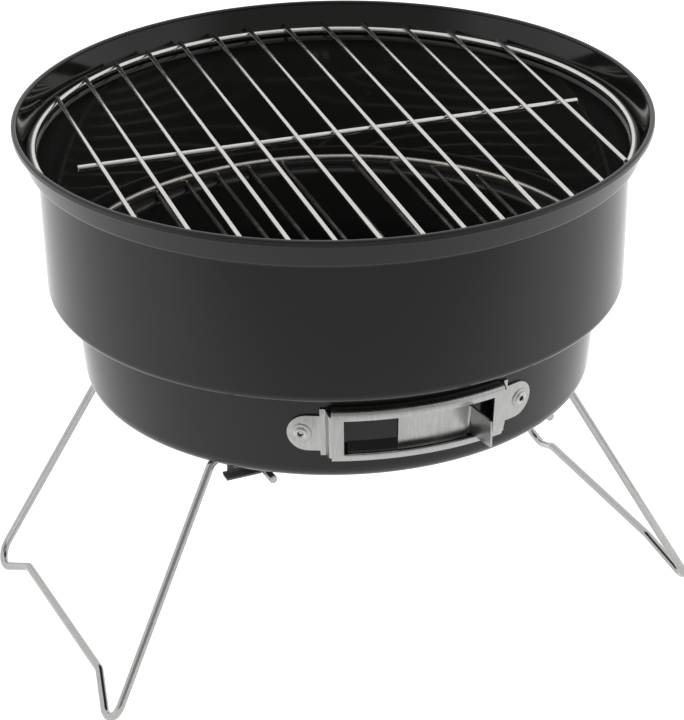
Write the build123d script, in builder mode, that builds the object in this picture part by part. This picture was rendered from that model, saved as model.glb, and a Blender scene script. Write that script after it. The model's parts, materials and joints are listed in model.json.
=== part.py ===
"""Portable tabletop charcoal grill: a stepped enamelled bowl on two folding wire legs.

The bowl is one deep-drawn pressing with a wide upper wall and a narrower lower cup.
A charcoal grate lies on the step inside it and a cooking grate on the flare under the rim.
A curved vent frame is riveted to the cup, and a damper slides behind its window.
Each leg is one bent wire that turns in two sheet brackets under the cup.

Frame: millimetres, +Z up, origin on the ground below the bowl's axis.
The legs stand at -X and +X, and the vent is at the front, close to -Y.
"""

import os
from math import atan, atan2, cos, degrees, radians, sin, sqrt, tan

from build123d import *

# ---------------------------------------------------------------- driving dimensions
# bowl, given on its outer skin
SHEET = 1.0                    # thickness of the enamelled sheet
CUP_BOTTOM = 105.4             # height of the cup's underside above the ground
CUP_FOOT_RADIUS = 107.0
CUP_TOP_RADIUS = 110.9
STEP = 146.8                   # height of the step's underside
WALL_FOOT_RADIUS = 121.4
WALL_TOP_RADIUS = 122.7
FLARE_FOOT = 206.8             # height where the wall turns out into the flare
FLARE_RADIUS = 127.6
FLARE_TOP = 208.3
RIM_RADIUS = 132.5
RIM_TOP = 221.3
RIM_BAND = 2.9                 # height of the hem around the rim
RIM_WIDTH = 2.3
HEM_TOP_ROUND = 0.85
HEM_FOOT_ROUND = 0.5
CUP_FOOT_BEND = 7.0            # bends of the skin, from the cup's floor up to the rim
CUP_TOP_BEND = 1.2
STEP_BEND = 3.5
FLARE_FOOT_BEND = 1.5
FLARE_BEND = 2.2

# vent frame, damper and air hole; angles are measured from the middle of the vent
VENT_AZIMUTH = -96.35          # degrees from +X, so a little left of the front
VENT_HEIGHT = 128.4            # height of the two rivets
FRAME_SHEET = 0.9
FRAME_STANDOFF = 5.0           # cup wall to the frame's front face
FRAME_HALF_ANGLE = 18.8
FRAME_LOW = 116.5
FRAME_HIGH = 140.4
FRAME_BEND = 2.4               # outer bend between the face and the roof or the floor
FLANGE_GAP = 0.1               # between the cup and the inner edges of roof and floor
WINDOW_HALF_ANGLE = 15.9
WINDOW_LOW = 120.2
WINDOW_HIGH = 136.0
SLANT_FOOT_ANGLE = 19.65       # where a slanted end of the frame lands on the cup
FOOT_LOW = 118.2
FOOT_HIGH = 139.7
EAR_FOOT_ANGLE = 20.75         # where the tall foot of the frame narrows to the ear
EAR_END_ANGLE = 23.4           # middle of the ear's round end
EAR_HEIGHT = 16.2
RIVET_ANGLE = 24.75
DAMPER_SHEET = 0.8
DAMPER_START = -4.6
DAMPER_END = 11.6
DAMPER_GAP = 0.3               # between the plate and the cup, and between the plate and the rails
RAIL_SHEET = 1.0
RAIL_HEIGHT = 1.5
TAB_REACH = 126.0              # radius of the tab's outer edge
TAB_ROOT_LOW = 120.6
TAB_ROOT_HIGH = 133.2
TAB_END_LOW = 121.3
TAB_END_HIGH = 132.6
AIR_HOLE_START = -15.1
AIR_HOLE_END = -1.0
AIR_HOLE_LOW = 118.6
AIR_HOLE_HIGH = 124.4

# legs, given on the wire's centre line; a leg's loop lies in one leaning plane
LEG_WIRE = 3.5
LEG_TILT = 28.2                # lean of the loop from the vertical, in degrees
FOOT_REACH = 134.7             # X of a foot's lowest point
FOOT_CORNER_Y = 76.3           # Y where the lines of arm and jog meet
ARM_LEAN = 0.16                # how far an arm closes in, per unit of length
CROSSBAR_HALF = 46.0
CROSSBAR_LIFT = 15.9           # from the foot's corner, along the loop's plane
FOOT_BEND = 7.3
CROSSBAR_BEND = 4.0
ELBOW_BEND = 6.0
PIN_BEND = 3.3
PIVOT_X = 62.5
PIN_END_Y = 78.7
ELBOW_CORNER_Z = 104.1         # puts the rounded elbow just under the cup

# leg brackets
BRACKET_WEB_Y = 60.4           # inner face of the web
BRACKET_LIP_Y = 65.8
BRACKET_FLANGE_Y = 69.4
BRACKET_FLOOR = 97.4           # underside of the lip
BRACKET_BEFORE_PIN = 15.0
BRACKET_AFTER_PIN = 10.5
BRACKET_HOOK = 2.0             # how far the lip runs past the web at one end
BRACKET_BEND = 1.6
HINGE_CLEARANCE = 0.07
PIN_ABOVE_LIP = 0.7

# grates
GRATE_BARS = 13
COOKING_TURN = -6.0            # the loose grate lies turned a little about Z
COOKING_RING_RADIUS = 124.2
COOKING_RING_WIRE = 3.0
COOKING_BAR_WIRE = 2.0
COOKING_BAR_PITCH = 16.7
COOKING_BAR_END = 123.9        # radius of the bars' ends, over the ring
CROSS_BAR_WIRE = 2.6
CROSS_BAR_HALF = 108.5
CHARCOAL_TURN = -5.0
CHARCOAL_RING_RADIUS = 115.2
CHARCOAL_RING_WIRE = 3.0
CHARCOAL_ROD_WIRE = 2.2
CHARCOAL_ROD_PITCH = 15.7
CHARCOAL_ROD_SHIFT = -2.5      # the row of rods sits a little off the ring's middle
CHARCOAL_ROD_END = 115.5
CHARCOAL_CROSS_HALF = 100.0
REST_GAP = 0.2                 # between a loose grate and the sheet that carries it

# rivets
VENT_RIVET_SHANK = 1.6
VENT_RIVET_HEAD = 2.9
VENT_RIVET_BORE = 0.9
VENT_RIVET_BULB = 2.4          # radius of the swelled end inside the cup, and its length
VENT_RIVET_DEPTH = 3.6         # how far the rivet reaches behind the cup's outer face
BRACKET_RIVET_SHANK = 1.5
BRACKET_RIVET_HEAD = 2.8
BRACKET_RIVET_PLACES = (-6.0, 7.0)    # along the bracket, from its middle
RIVET_HEAD_HEIGHT = 0.9
RIVET_TAPER = 22               # slope of a rivet head's edge, in degrees
RIVET_PLAY = 0.01              # keeps a shank just clear of its hole

CUT = 4.0                      # reach of a cut on either side of a thin sheet


def save(builder, name):
    """Label a finished piece and write it as its own STEP file."""
    builder.part.label = name
    export_step(builder.part, f"parts/{name}.step")
    box = builder.part.bounding_box()
    print(f"{name:26s} {len(builder.part.solids())} solid(s)  z {box.min.Z:7.2f} to {box.max.Z:7.2f}")


def cup_radius(height):
    """Outer radius of the lower cup at a height; the cup widens a little upwards."""
    share = (height - CUP_BOTTOM) / (STEP - CUP_BOTTOM)
    return CUP_FOOT_RADIUS + (CUP_TOP_RADIUS - CUP_FOOT_RADIUS) * share


def radial_plane(azimuth):
    """Upright plane through the bowl's axis: local x points outwards, local y up."""
    angle = radians(azimuth)
    return Plane(origin=(0, 0, 0), x_dir=(cos(angle), sin(angle), 0), z_dir=(sin(angle), -cos(angle), 0))


def wall_plane(angle, height, standoff=0.0):
    """Plane that touches the cup's wall, at an angle from the vent's middle, facing outwards."""
    azimuth = radians(VENT_AZIMUTH + angle)
    lean = atan((CUP_TOP_RADIUS - CUP_FOOT_RADIUS) / (STEP - CUP_BOTTOM))
    outwards = Vector(cos(azimuth) * cos(lean), sin(azimuth) * cos(lean), -sin(lean))
    radius = cup_radius(height)
    touch = Vector(radius * cos(azimuth), radius * sin(azimuth), height)
    return Plane(origin=touch + outwards * standoff, x_dir=(-sin(azimuth), cos(azimuth), 0), z_dir=outwards)


def wall_band(start, end, near, far, low, high, mode=Mode.ADD):
    """Curved strip that follows the cup's wall, from near to far outside it."""
    with BuildSketch(radial_plane(VENT_AZIMUTH + start)) as section:
        with BuildLine():
            Polyline(
                (cup_radius(low) + near, low),
                (cup_radius(low) + far, low),
                (cup_radius(high) + far, high),
                (cup_radius(high) + near, high),
                close=True,
            )
        make_face()
    revolve(section.sketch, axis=Axis.Z, revolution_arc=end - start, mode=mode)


def straight_wire(start, end, diameter):
    """Straight round wire between two points."""
    with BuildLine(mode=Mode.PRIVATE):
        line = Line(start, end)
    with BuildSketch(Plane(origin=line @ 0, z_dir=line % 0)) as section:
        Circle(diameter / 2)
    sweep(section.sketch, path=line)


def turned(x, y, z, turn):
    """Point of a grate after the grate's own turn about the bowl's axis."""
    angle = radians(turn)
    return (x * cos(angle) - y * sin(angle), x * sin(angle) + y * cos(angle), z)


os.makedirs("parts", exist_ok=True)

# ---------------------------------------------------------------- bowl
rim_wall_radius = RIM_RADIUS - RIM_WIDTH + SHEET
flange_hole_y = (BRACKET_FLANGE_Y + BRACKET_WEB_Y + SHEET) / 2
bracket_hole_spots = []
for pivot_x in (-PIVOT_X, PIVOT_X):
    middle = pivot_x - (BRACKET_BEFORE_PIN - BRACKET_AFTER_PIN) / 2
    for place in BRACKET_RIVET_PLACES:
        bracket_hole_spots += [(middle + place, -flange_hole_y), (-middle - place, flange_hole_y)]

with BuildPart() as bowl:
    with BuildSketch(Plane.XZ):
        with BuildLine():
            FilletPolyline(
                (0, CUP_BOTTOM),
                (CUP_FOOT_RADIUS, CUP_BOTTOM),
                (CUP_TOP_RADIUS, STEP),
                (WALL_FOOT_RADIUS, STEP),
                (WALL_TOP_RADIUS, FLARE_FOOT),
                (FLARE_RADIUS, FLARE_TOP),
                (rim_wall_radius, RIM_TOP - RIM_BAND / 2),
                radius=[CUP_FOOT_BEND, CUP_TOP_BEND, STEP_BEND, FLARE_FOOT_BEND, FLARE_BEND],
            )
            offset(amount=SHEET, side=Side.LEFT)
        make_face()
    revolve(axis=Axis.Z)
    with BuildSketch(Plane.XZ) as hem:
        with Locations((RIM_RADIUS - RIM_WIDTH / 2, RIM_TOP - RIM_BAND / 2)):
            Rectangle(RIM_WIDTH, RIM_BAND)
        fillet(hem.vertices().group_by(Axis.Y)[-1], HEM_TOP_ROUND)
        fillet(hem.vertices().group_by(Axis.Y)[0].sort_by(Axis.X)[-1], HEM_FOOT_ROUND)
    revolve(axis=Axis.Z)
    wall_band(AIR_HOLE_START, AIR_HOLE_END, -CUT, CUT, AIR_HOLE_LOW, AIR_HOLE_HIGH, mode=Mode.SUBTRACT)
    for angle in (-RIVET_ANGLE, RIVET_ANGLE):
        with BuildSketch(wall_plane(angle, VENT_HEIGHT)):
            Circle(VENT_RIVET_SHANK)
        extrude(amount=CUT, both=True, mode=Mode.SUBTRACT)
    with BuildSketch(Plane.XY.offset(CUP_BOTTOM)):
        with Locations(*bracket_hole_spots):
            Circle(BRACKET_RIVET_SHANK)
    extrude(amount=CUT, both=True, mode=Mode.SUBTRACT)
save(bowl, "bowl")

# ---------------------------------------------------------------- vent frame
frame_back = FRAME_STANDOFF - FRAME_SHEET
ear_low = VENT_HEIGHT - EAR_HEIGHT / 2
ear_high = VENT_HEIGHT + EAR_HEIGHT / 2
sheet_angle = degrees(FRAME_SHEET / (cup_radius(VENT_HEIGHT) + FRAME_STANDOFF))


def ear_disc(angle):
    """Round end of an ear: a disc of sheet that follows the cup's wall."""
    reach = 1.2 * degrees(EAR_HEIGHT / 2 / cup_radius(VENT_HEIGHT))
    with BuildPart() as disc:
        wall_band(angle - reach, angle + reach, 0, FRAME_SHEET, ear_low, ear_high)
        with BuildSketch(wall_plane(angle, VENT_HEIGHT)):
            Circle(EAR_HEIGHT / 2)
        extrude(amount=CUT, both=True, mode=Mode.INTERSECT)
    return disc.part


def slanted_end(hand):
    """End of the frame's face, coming down aslant to its foot on the cup."""
    low = FRAME_LOW + FRAME_BEND
    high = FRAME_HIGH - FRAME_BEND
    radius = cup_radius(low)
    top = Vector(radians(FRAME_HALF_ANGLE - sheet_angle / 2) * radius, frame_back + FRAME_SHEET / 2)
    foot = Vector(radians(SLANT_FOOT_ANGLE - sheet_angle / 2) * radius, FRAME_SHEET / 2)
    side = (foot - top).normalized().rotate(Axis.Z, 90) * FRAME_SHEET / 2
    corners = []
    for spot in (top + side, foot + side, foot - side, top - side):
        azimuth = radians(VENT_AZIMUTH) + hand * spot.X / radius
        corners.append(((radius + spot.Y) * cos(azimuth), (radius + spot.Y) * sin(azimuth)))
    climb = wall_plane(hand * SLANT_FOOT_ANGLE, low).y_dir
    with BuildSketch(Plane.XY.offset(low)) as section:
        with BuildLine():
            Polyline(*corners, close=True)
        make_face()
    extrude(section.sketch, amount=(high - low) / climb.Z, dir=climb)


ear_ends = [ear_disc(-EAR_END_ANGLE), ear_disc(EAR_END_ANGLE)]
with BuildPart() as vent_frame:
    with BuildSketch(radial_plane(VENT_AZIMUTH - FRAME_HALF_ANGLE)) as channel:
        with BuildLine():
            FilletPolyline(
                (cup_radius(FRAME_HIGH) + FLANGE_GAP, FRAME_HIGH),
                (cup_radius(FRAME_HIGH) + FRAME_STANDOFF, FRAME_HIGH),
                (cup_radius(FRAME_LOW) + FRAME_STANDOFF, FRAME_LOW),
                (cup_radius(FRAME_LOW) + FLANGE_GAP, FRAME_LOW),
                radius=FRAME_BEND,
            )
            offset(amount=FRAME_SHEET, side=Side.RIGHT)
        make_face()
    revolve(channel.sketch, axis=Axis.Z, revolution_arc=2 * FRAME_HALF_ANGLE)
    wall_band(
        -WINDOW_HALF_ANGLE, WINDOW_HALF_ANGLE, FRAME_STANDOFF / 2, FRAME_STANDOFF + CUT,
        WINDOW_LOW, WINDOW_HIGH, mode=Mode.SUBTRACT,
    )
    for hand in (-1, 1):
        slanted_end(hand)
        foot_start = hand * (SLANT_FOOT_ANGLE - sheet_angle)
        wall_band(*sorted((foot_start, hand * EAR_FOOT_ANGLE)), 0, FRAME_SHEET, FOOT_LOW, FOOT_HIGH)
        wall_band(*sorted((foot_start, hand * EAR_END_ANGLE)), 0, FRAME_SHEET, ear_low, ear_high)
    add(ear_ends)
    for angle in (-RIVET_ANGLE, RIVET_ANGLE):
        with BuildSketch(wall_plane(angle, VENT_HEIGHT)):
            Circle(VENT_RIVET_SHANK)
        extrude(amount=CUT, both=True, mode=Mode.SUBTRACT)
save(vent_frame, "vent_frame")

# ---------------------------------------------------------------- damper and its rails
damper_near = DAMPER_GAP
damper_far = damper_near + DAMPER_SHEET
rail_near = damper_far + DAMPER_GAP
rail_far = rail_near + RAIL_SHEET
rail_half_angle = FRAME_HALF_ANGLE - 2 * sheet_angle
floor_top = FRAME_LOW + FRAME_SHEET
roof_underside = FRAME_HIGH - FRAME_SHEET

with BuildPart() as damper_rail_bottom:
    wall_band(-rail_half_angle, rail_half_angle, rail_near, rail_far, floor_top, floor_top + RAIL_HEIGHT)
save(damper_rail_bottom, "damper_rail_bottom")

with BuildPart() as damper_rail_top:
    wall_band(
        -rail_half_angle, rail_half_angle, rail_near, rail_far,
        roof_underside - RAIL_HEIGHT, roof_underside,
    )
save(damper_rail_top, "damper_rail_top")

sheet_middle = damper_far - DAMPER_SHEET / 2
with BuildPart() as damper:
    wall_band(
        DAMPER_START, DAMPER_END, damper_near, damper_far,
        floor_top + DAMPER_GAP, roof_underside - DAMPER_GAP,
    )
    with BuildSketch(radial_plane(VENT_AZIMUTH + DAMPER_END)):
        with BuildLine():
            Polyline(
                (cup_radius(TAB_ROOT_LOW) + sheet_middle, TAB_ROOT_LOW),
                (TAB_REACH, TAB_END_LOW),
                (TAB_REACH, TAB_END_HIGH),
                (cup_radius(TAB_ROOT_HIGH) + sheet_middle, TAB_ROOT_HIGH),
                close=True,
            )
        make_face()
    extrude(amount=DAMPER_SHEET / 2, both=True)
save(damper, "damper")

# ---------------------------------------------------------------- vent rivets
with BuildPart() as vent_rivets:
    for angle in (-RIVET_ANGLE, RIVET_ANGLE):
        with BuildSketch(wall_plane(angle, VENT_HEIGHT, -VENT_RIVET_DEPTH)):
            Circle(VENT_RIVET_SHANK - RIVET_PLAY)
            Circle(VENT_RIVET_BORE, mode=Mode.SUBTRACT)
        extrude(amount=VENT_RIVET_DEPTH + FRAME_SHEET + RIVET_HEAD_HEIGHT)
        with BuildSketch(wall_plane(angle, VENT_HEIGHT, FRAME_SHEET)):
            Circle(VENT_RIVET_HEAD)
            Circle(VENT_RIVET_BORE, mode=Mode.SUBTRACT)
        extrude(amount=RIVET_HEAD_HEIGHT, taper=RIVET_TAPER)
        with BuildSketch(wall_plane(angle, VENT_HEIGHT, -VENT_RIVET_DEPTH)):
            Circle(VENT_RIVET_BULB)
            Circle(VENT_RIVET_BORE, mode=Mode.SUBTRACT)
        extrude(amount=VENT_RIVET_BULB)
save(vent_rivets, "vent_rivets")

# ---------------------------------------------------------------- leg brackets
pin_height = BRACKET_FLOOR + SHEET + PIN_ABOVE_LIP + LEG_WIRE / 2
pin_hole = LEG_WIRE / 2 + HINGE_CLEARANCE


def leg_bracket(pivot_x):
    """One C-shaped bracket at the front: flange under the cup, upright web, lip below."""
    start = pivot_x - BRACKET_BEFORE_PIN
    end = pivot_x + BRACKET_AFTER_PIN
    with BuildPart() as bracket:
        with BuildSketch(Plane.YZ.offset(start)):
            with BuildLine():
                FilletPolyline(
                    (-BRACKET_FLANGE_Y, CUP_BOTTOM),
                    (-BRACKET_WEB_Y, CUP_BOTTOM),
                    (-BRACKET_WEB_Y, BRACKET_FLOOR),
                    (-BRACKET_LIP_Y, BRACKET_FLOOR),
                    radius=BRACKET_BEND,
                )
                offset(amount=SHEET, side=Side.RIGHT)
            make_face()
        extrude(amount=end - start)
        with BuildSketch(Plane.YZ.offset(start)):
            with Locations((-(BRACKET_WEB_Y + BRACKET_FLANGE_Y) / 2, CUP_BOTTOM)):
                Rectangle(2 * BRACKET_FLANGE_Y, 2 * (CUP_BOTTOM - BRACKET_FLOOR - BRACKET_BEND))
        extrude(amount=BRACKET_HOOK, mode=Mode.SUBTRACT)
        with BuildSketch(Plane.XZ.offset(BRACKET_WEB_Y)):
            with Locations((pivot_x, pin_height)):
                Circle(pin_hole)
        extrude(amount=CUT, both=True, mode=Mode.SUBTRACT)
        with BuildSketch(Plane.XY.offset(CUP_BOTTOM)):
            for place in BRACKET_RIVET_PLACES:
                with Locations(((start + end) / 2 + place, -flange_hole_y)):
                    Circle(BRACKET_RIVET_SHANK)
        extrude(amount=-CUT, mode=Mode.SUBTRACT)
    return bracket


def turned_round(front):
    """The same bracket at the rear, turned half round about the bowl's axis."""
    with BuildPart() as rear:
        add(front.part.rotate(Axis.Z, 180))
    return rear


front_left = leg_bracket(-PIVOT_X)
front_right = leg_bracket(PIVOT_X)
save(front_left, "leg_bracket_front_left")
save(front_right, "leg_bracket_front_right")
save(turned_round(front_right), "leg_bracket_rear_left")
save(turned_round(front_left), "leg_bracket_rear_right")

inner_floor = CUP_BOTTOM + SHEET
with BuildPart() as bracket_rivets:
    with BuildSketch(Plane.XY.offset(CUP_BOTTOM - SHEET - RIVET_HEAD_HEIGHT)):
        with Locations(*bracket_hole_spots):
            Circle(BRACKET_RIVET_SHANK - RIVET_PLAY)
    extrude(amount=2 * SHEET + 2 * RIVET_HEAD_HEIGHT)
    with BuildSketch(Plane.XY.offset(inner_floor)):
        with Locations(*bracket_hole_spots):
            Circle(BRACKET_RIVET_HEAD)
    extrude(amount=RIVET_HEAD_HEIGHT, taper=RIVET_TAPER)
    with BuildSketch(Plane.XY.offset(CUP_BOTTOM - SHEET)):
        with Locations(*bracket_hole_spots):
            Circle(BRACKET_RIVET_HEAD)
    extrude(amount=-RIVET_HEAD_HEIGHT, taper=RIVET_TAPER)
save(bracket_rivets, "bracket_rivets")

# ---------------------------------------------------------------- legs
tilt = radians(LEG_TILT)
arm_angle = radians(90) - atan(ARM_LEAN)
jog_angle = atan2(CROSSBAR_LIFT, FOOT_CORNER_Y - CROSSBAR_HALF)
half_sum = (arm_angle + jog_angle) / 2
half_gap = (arm_angle - jog_angle) / 2
foot_drop = FOOT_BEND * sin(half_sum) / sin(half_gap) - FOOT_BEND


def leg_point(side, along, y):
    """Point of a leg's loop: a distance up the leaning plane from the foot's corner."""
    rise = along - foot_drop
    return (side * (FOOT_REACH - rise * sin(tilt)), y, LEG_WIRE / 2 + rise * cos(tilt))


elbow_along = foot_drop + (ELBOW_CORNER_Z - LEG_WIRE / 2) / cos(tilt)
elbow_y = FOOT_CORNER_Y - ARM_LEAN * elbow_along


def leg_wire(side):
    """One leg: pin, run, elbow, arm, foot, jog, crossbar and the same again mirrored."""
    half = [
        (side * PIVOT_X, PIN_END_Y, pin_height),
        (side * PIVOT_X, elbow_y, pin_height),
        leg_point(side, elbow_along, elbow_y),
        leg_point(side, 0, FOOT_CORNER_Y),
        leg_point(side, CROSSBAR_LIFT, CROSSBAR_HALF),
    ]
    points = half + [(x, -y, z) for x, y, z in reversed(half)]
    bends = [PIN_BEND, ELBOW_BEND, FOOT_BEND, CROSSBAR_BEND]
    with BuildPart() as leg:
        with BuildLine() as route:
            FilletPolyline(*points, radius=bends + bends[::-1])
        with BuildSketch(Plane(origin=route.wire() @ 0, z_dir=route.wire() % 0)):
            Circle(LEG_WIRE / 2)
        sweep(path=route.wire())
    return leg


save(leg_wire(-1), "left_leg")
save(leg_wire(1), "right_leg")

# ---------------------------------------------------------------- charcoal grate
rod_height = STEP + SHEET + REST_GAP + CHARCOAL_ROD_WIRE / 2
charcoal_ring_height = rod_height + CHARCOAL_ROD_WIRE / 2 + CHARCOAL_RING_WIRE / 2

with BuildPart() as charcoal_ring:
    with BuildSketch(Plane.XZ):
        with Locations((CHARCOAL_RING_RADIUS, charcoal_ring_height)):
            Circle(CHARCOAL_RING_WIRE / 2)
    revolve(axis=Axis.Z)
save(charcoal_ring, "charcoal_grate_ring")

for number in range(GRATE_BARS):
    x = CHARCOAL_ROD_SHIFT + (number - (GRATE_BARS - 1) / 2) * CHARCOAL_ROD_PITCH
    reach = sqrt(CHARCOAL_ROD_END**2 - x**2)
    ends = [turned(x, y, rod_height, CHARCOAL_TURN) for y in (-reach, reach)]
    with BuildPart() as rod:
        straight_wire(*ends, CHARCOAL_ROD_WIRE)
    save(rod, f"charcoal_grate_rod_{number + 1:02d}")

cross_height = rod_height - CHARCOAL_ROD_WIRE
ends = [turned(x, 0, cross_height, CHARCOAL_TURN) for x in (-CHARCOAL_CROSS_HALF, CHARCOAL_CROSS_HALF)]
with BuildPart() as charcoal_cross_rod:
    straight_wire(*ends, CHARCOAL_ROD_WIRE)
save(charcoal_cross_rod, "charcoal_grate_cross_rod")

# ---------------------------------------------------------------- cooking grate
flare_slope = atan2(FLARE_TOP - FLARE_FOOT, FLARE_RADIUS - WALL_TOP_RADIUS)
flare_at_ring = FLARE_FOOT + (COOKING_RING_RADIUS - WALL_TOP_RADIUS) * tan(flare_slope)
ring_above_skin = (SHEET + REST_GAP + COOKING_RING_WIRE / 2) / cos(flare_slope)
cooking_ring_height = flare_at_ring + ring_above_skin
ring_top = cooking_ring_height + COOKING_RING_WIRE / 2
bar_height = ring_top + COOKING_BAR_WIRE / 2
cross_bar_height = ring_top - CROSS_BAR_WIRE / 2

with BuildPart() as cooking_ring:
    with BuildSketch(Plane.XZ):
        with Locations((COOKING_RING_RADIUS, cooking_ring_height)):
            Circle(COOKING_RING_WIRE / 2)
    revolve(axis=Axis.Z)
save(cooking_ring, "cooking_grate_ring")

ends = [turned(x, 0, cross_bar_height, COOKING_TURN) for x in (-CROSS_BAR_HALF, CROSS_BAR_HALF)]
with BuildPart() as cross_bar:
    straight_wire(*ends, CROSS_BAR_WIRE)
save(cross_bar, "cooking_grate_cross_bar")

for number in range(GRATE_BARS):
    x = (number - (GRATE_BARS - 1) / 2) * COOKING_BAR_PITCH
    reach = sqrt(COOKING_BAR_END**2 - x**2)
    ends = [turned(x, y, bar_height, COOKING_TURN) for y in (-reach, reach)]
    with BuildPart() as bar:
        straight_wire(*ends, COOKING_BAR_WIRE)
    save(bar, f"cooking_grate_bar_{number + 1:02d}")

print("pin height", round(pin_height, 2), " elbow y", round(elbow_y, 2), " foot drop", round(foot_drop, 2))
print("cooking ring height", round(cooking_ring_height, 2), " bar height", round(bar_height, 2))
print("charcoal ring height", round(charcoal_ring_height, 2), " rod height", round(rod_height, 2))
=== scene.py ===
# %% [markdown]
# # A portable charcoal grill, dressed around its frame
#
# This lesson dresses a small round charcoal grill in Blender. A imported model, the
# frame, already holds every piece at its real size and in its real place: the bowl,
# its vent and damper, two folding wire legs and two loose grates. Nothing here moves
# or resizes that model. What we add is what the eye looks for: sheet metal with real
# bends, welded wire, glossy enamel, galvanised steel and plating.
#
# Everything is in metres. The ground is at Z = 0, the bowl's axis is the Z axis,
# the legs stand at -X and +X, and the vent is at the front, close to -Y.

import json
from math import atan2, cos, degrees, pi, radians, sin, sqrt, tan

import bmesh
import bpy
from mathutils import Matrix, Quaternion, Vector


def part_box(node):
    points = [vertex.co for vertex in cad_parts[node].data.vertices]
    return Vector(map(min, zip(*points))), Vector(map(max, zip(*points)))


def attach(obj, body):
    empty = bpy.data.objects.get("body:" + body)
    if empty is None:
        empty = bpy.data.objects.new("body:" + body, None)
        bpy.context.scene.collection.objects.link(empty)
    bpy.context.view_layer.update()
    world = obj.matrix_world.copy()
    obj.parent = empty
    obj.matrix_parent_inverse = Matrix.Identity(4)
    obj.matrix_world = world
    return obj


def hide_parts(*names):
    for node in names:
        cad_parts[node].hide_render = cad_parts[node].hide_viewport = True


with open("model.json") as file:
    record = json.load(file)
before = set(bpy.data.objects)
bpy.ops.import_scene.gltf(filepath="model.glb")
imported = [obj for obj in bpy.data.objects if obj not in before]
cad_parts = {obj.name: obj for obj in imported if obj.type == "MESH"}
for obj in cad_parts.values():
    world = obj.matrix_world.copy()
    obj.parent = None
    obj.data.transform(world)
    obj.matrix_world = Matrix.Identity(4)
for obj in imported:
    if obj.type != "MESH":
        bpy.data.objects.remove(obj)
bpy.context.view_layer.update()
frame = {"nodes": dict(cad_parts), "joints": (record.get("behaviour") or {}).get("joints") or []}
print("nodes:", len(frame["nodes"]))

# %% [markdown]
# ## Camera
#
# The camera comes first, because every other choice is judged through it. It stands
# in front and to the left, about 27 degrees above the horizon, with a long lens, so
# the round bowl keeps its proportions. A camera looks along its own -Z axis, so its
# matrix is built from three directions: right, up and backwards. `put` makes an object
# of any kind and links it into the scene.

# %% Camera
def put(name, data):
    """A new object in the scene."""
    made = bpy.data.objects.new(name, data)
    bpy.context.scene.collection.objects.link(made)
    return made


CAMERA_PLACE = Vector((-0.4486, -1.0400, 0.6750))
CAMERA_HEADING = radians(23.44)    # from +Y towards +X
CAMERA_PITCH = radians(26.70)      # below the horizon
CAMERA_ROLL = radians(-0.93)
CAMERA_LENS = 147.35               # millimetres, on a 36 mm sensor

ahead = Vector((
    sin(CAMERA_HEADING) * cos(CAMERA_PITCH),
    cos(CAMERA_HEADING) * cos(CAMERA_PITCH),
    -sin(CAMERA_PITCH),
))
level = Vector((cos(CAMERA_HEADING), -sin(CAMERA_HEADING), 0))
above = level.cross(ahead)
right = level * cos(CAMERA_ROLL) + above * sin(CAMERA_ROLL)
up = above * cos(CAMERA_ROLL) - level * sin(CAMERA_ROLL)

camera = put("camera", bpy.data.cameras.new("camera"))
camera.data.lens = CAMERA_LENS
camera.matrix_world = Matrix.Translation(CAMERA_PLACE) @ Matrix((right, up, -ahead)).transposed().to_4x4()
bpy.context.scene.camera = camera
bpy.context.scene.view_settings.view_transform = "Standard"
print("camera looks along", [round(value, 3) for value in ahead])

# %% [markdown]
# ## Node helpers
#
# Materials and Geometry Nodes are both built from nodes, sockets and links. A few
# small helpers keep the rest of the file readable. `group` makes an empty node group
# with named inputs and outputs. `node` places one node, and `feed` gives a node its
# inputs, each a plain value or another node's socket, which it links. `maths`, `times`,
# `vector_maths`, `dot`, `ranged`, `blend_colours` and `xyz` each place one node that
# makes a value, a colour or a vector.

# %% Node helpers
FLOAT = "NodeSocketFloat"
WHOLE = "NodeSocketInt"
VECTOR = "NodeSocketVector"
GEOMETRY = "NodeSocketGeometry"
MATERIAL = "NodeSocketMaterial"
THING = "NodeSocketObject"


def group(name, kind, inputs, outputs):
    """A new node group: inputs and outputs are lists of (name, socket type)."""
    made = bpy.data.node_groups.new(name, kind)
    for label, socket in inputs:
        made.interface.new_socket(label, in_out="INPUT", socket_type=socket)
    for label, socket in outputs:
        made.interface.new_socket(label, in_out="OUTPUT", socket_type=socket)
    return made


def feed(tree, made, inputs):
    """Give a node its inputs: a value, a socket, or a node whose first socket is meant."""
    for key, value in inputs.items():
        if isinstance(value, bpy.types.Node):
            value = value.outputs[0]
        if isinstance(value, bpy.types.NodeSocket):
            tree.links.new(value, made.inputs[key])
        else:
            made.inputs[key].default_value = value


def node(tree, kind, inputs=None, **settings):
    """Place one node; inputs is keyed by the sockets' names or numbers."""
    made = tree.nodes.new(kind)
    for key, value in settings.items():
        setattr(made, key, value)
    feed(tree, made, inputs or {})
    return made


def maths(tree, operation, first, second=0.0):
    """A number from one sum on one or two numbers."""
    return node(tree, "ShaderNodeMath", {0: first, 1: second}, operation=operation)


def times(tree, first, second):
    """The product of two numbers."""
    return maths(tree, "MULTIPLY", first, second)


def vector_maths(tree, operation, first, second=(0, 0, 0)):
    """A vector from one sum on one or two vectors."""
    return node(tree, "ShaderNodeVectorMath", {0: first, 1: second}, operation=operation)


def dot(tree, first, second):
    """The dot product of two vectors."""
    return vector_maths(tree, "DOT_PRODUCT", first, second).outputs["Value"]


def ranged(tree, value, start, end, low=0.0, high=1.0, kind="LINEAR"):
    """A value that goes from low to high as the given one goes from start to end."""
    return node(tree, "ShaderNodeMapRange", {
        "Value": value, "From Min": start, "From Max": end, "To Min": low, "To Max": high,
    }, interpolation_type=kind)


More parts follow.
